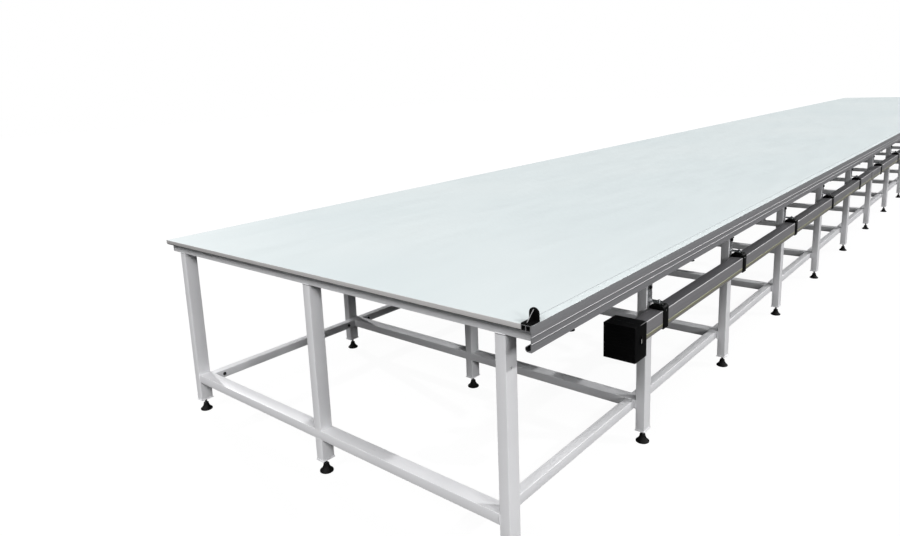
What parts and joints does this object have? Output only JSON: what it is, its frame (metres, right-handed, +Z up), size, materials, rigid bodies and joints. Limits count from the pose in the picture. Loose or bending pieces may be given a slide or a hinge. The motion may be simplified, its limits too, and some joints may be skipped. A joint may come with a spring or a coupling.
{
  "type": "fabric cutting table",
  "caption": "Long flat-topped cutting table on welded steel frames with levelling feet, an edge rail for a travelling machine and an enclosed power rail below it.",
  "frame": {"origin": "on the floor below the middle of the table, at the bottom centre of the bounding box", "axes": "+Z up, +Y along the table from the near end with the feed box to the far end, +X toward the side with the rails"},
  "size_m": [2.1015, 15, 0.922],
  "materials": {
    "frame_paint": "fine-textured light grey powder coat",
    "foot_black": "moulded black pad; the stud and the lock nut are zinc-plated steel",
    "top_laminate": "smooth white laminate over board",
    "edge_band_grey": "satin plastic edging",
    "rail_aluminium": "clear satin anodised extrusion",
    "housing_grey": "extruded grey plastic, satin",
    "carrier_grey": "extruded plastic",
    "copper_strip": "drawn copper",
    "zinc_steel": "bright zinc plating",
    "plastic_black": "moulded, fine grain",
    "latch_white": "moulded, satin",
    "terminal_grey": "moulded"
  },
  "bodies": {
    "table": {"frame_01": "frame_paint", "frame_02": "frame_paint", "frame_03": "frame_paint", "frame_04": "frame_paint", "frame_05": "frame_paint", "frame_06": "frame_paint", "frame_07": "frame_paint", "frame_08": "frame_paint", "frame_09": "frame_paint", "frame_10": "frame_paint", "frame_11": "frame_paint", "frame_12": "frame_paint", "frame_13": "frame_paint", "frame_14": "frame_paint", "frame_15": "frame_paint", "frame_16": "frame_paint", "side_stretchers": "frame_paint", "top_board_1": "top_laminate", "top_board_2": "top_laminate", "top_board_3": "top_laminate", "top_board_4": "top_laminate", "top_board_5": "top_laminate", "edge_rail_1": "rail_aluminium", "edge_rail_2": "rail_aluminium", "edge_rail_3": "rail_aluminium", "conductor_housing_1": "housing_grey", "conductor_housing_2": "housing_grey", "conductor_housing_3": "housing_grey", "edge_bands": "edge_band_grey", "top_screws": "zinc_steel", "frame_bolts": "zinc_steel", "rail_brackets": "zinc_steel", "hanger_studs": "zinc_steel", "hangers": "plastic_black", "end_stops": "plastic_black", "joint_covers": "housing_grey", "housing_end_cap": "plastic_black", "conductor_carriers": "carrier_grey", "conductor_strips": "copper_strip", "feed_box_body": "plastic_black", "terminal_block": "terminal_grey", "cable_gland": "plastic_black"},
    "feet_01": {"feet_01": "foot_black"},
    "feet_02": {"feet_02": "foot_black"},
    "feet_03": {"feet_03": "foot_black"},
    "feet_04": {"feet_04": "foot_black"},
    "feet_05": {"feet_05": "foot_black"},
    "feet_06": {"feet_06": "foot_black"},
    "feet_07": {"feet_07": "foot_black"},
    "feet_08": {"feet_08": "foot_black"},
    "feet_09": {"feet_09": "foot_black"},
    "feet_10": {"feet_10": "foot_black"},
    "feet_11": {"feet_11": "foot_black"},
    "feet_12": {"feet_12": "foot_black"},
    "feet_13": {"feet_13": "foot_black"},
    "feet_14": {"feet_14": "foot_black"},
    "feet_15": {"feet_15": "foot_black"},
    "feet_16": {"feet_16": "foot_black"},
    "feed_box_cover": {"feed_box_cover": "plastic_black"},
    "feed_box_latch": {"feed_box_latch": "latch_white"}
  },
  "joints": [
    {"name": "feet_01_height", "type": "slide", "parent": "table", "child": "feet_01", "axis": [0, 0, 1], "range_m": [-0.04, 0]},
    {"name": "feet_02_height", "type": "slide", "parent": "table", "child": "feet_02", "axis": [0, 0, 1], "range_m": [-0.04, 0]},
    {"name": "feet_03_height", "type": "slide", "parent": "table", "child": "feet_03", "axis": [0, 0, 1], "range_m": [-0.04, 0]},
    {"name": "feet_04_height", "type": "slide", "parent": "table", "child": "feet_04", "axis": [0, 0, 1], "range_m": [-0.04, 0]},
    {"name": "feet_05_height", "type": "slide", "parent": "table", "child": "feet_05", "axis": [0, 0, 1], "range_m": [-0.04, 0]},
    {"name": "feet_06_height", "type": "slide", "parent": "table", "child": "feet_06", "axis": [0, 0, 1], "range_m": [-0.04, 0]},
    {"name": "feet_07_height", "type": "slide", "parent": "table", "child": "feet_07", "axis": [0, 0, 1], "range_m": [-0.04, 0]},
    {"name": "feet_08_height", "type": "slide", "parent": "table", "child": "feet_08", "axis": [0, 0, 1], "range_m": [-0.04, 0]},
    {"name": "feet_09_height", "type": "slide", "parent": "table", "child": "feet_09", "axis": [0, 0, 1], "range_m": [-0.04, 0]},
    {"name": "feet_10_height", "type": "slide", "parent": "table", "child": "feet_10", "axis": [0, 0, 1], "range_m": [-0.04, 0]},
    {"name": "feet_11_height", "type": "slide", "parent": "table", "child": "feet_11", "axis": [0, 0, 1], "range_m": [-0.04, 0]},
    {"name": "feet_12_height", "type": "slide", "parent": "table", "child": "feet_12", "axis": [0, 0, 1], "range_m": [-0.04, 0]},
    {"name": "feet_13_height", "type": "slide", "parent": "table", "child": "feet_13", "axis": [0, 0, 1], "range_m": [-0.04, 0]},
    {"name": "feet_14_height", "type": "slide", "parent": "table", "child": "feet_14", "axis": [0, 0, 1], "range_m": [-0.04, 0]},
    {"name": "feet_15_height", "type": "slide", "parent": "table", "child": "feet_15", "axis": [0, 0, 1], "range_m": [-0.04, 0]},
    {"name": "feet_16_height", "type": "slide", "parent": "table", "child": "feet_16", "axis": [0, 0, 1], "range_m": [-0.04, 0]},
    {"name": "feed_box_cover_hinge", "type": "hinge", "parent": "table", "child": "feed_box_cover", "pos_m": [0.86625, -6.679, 0.552], "axis": [0, 0, -1], "range_deg": [0, 110]},
    {"name": "feed_box_latch_hinge", "type": "hinge", "parent": "table", "child": "feed_box_latch", "pos_m": [1.00875, -6.672, 0.558], "axis": [0, 0, 1], "range_deg": [0, 90]}
  ]
}
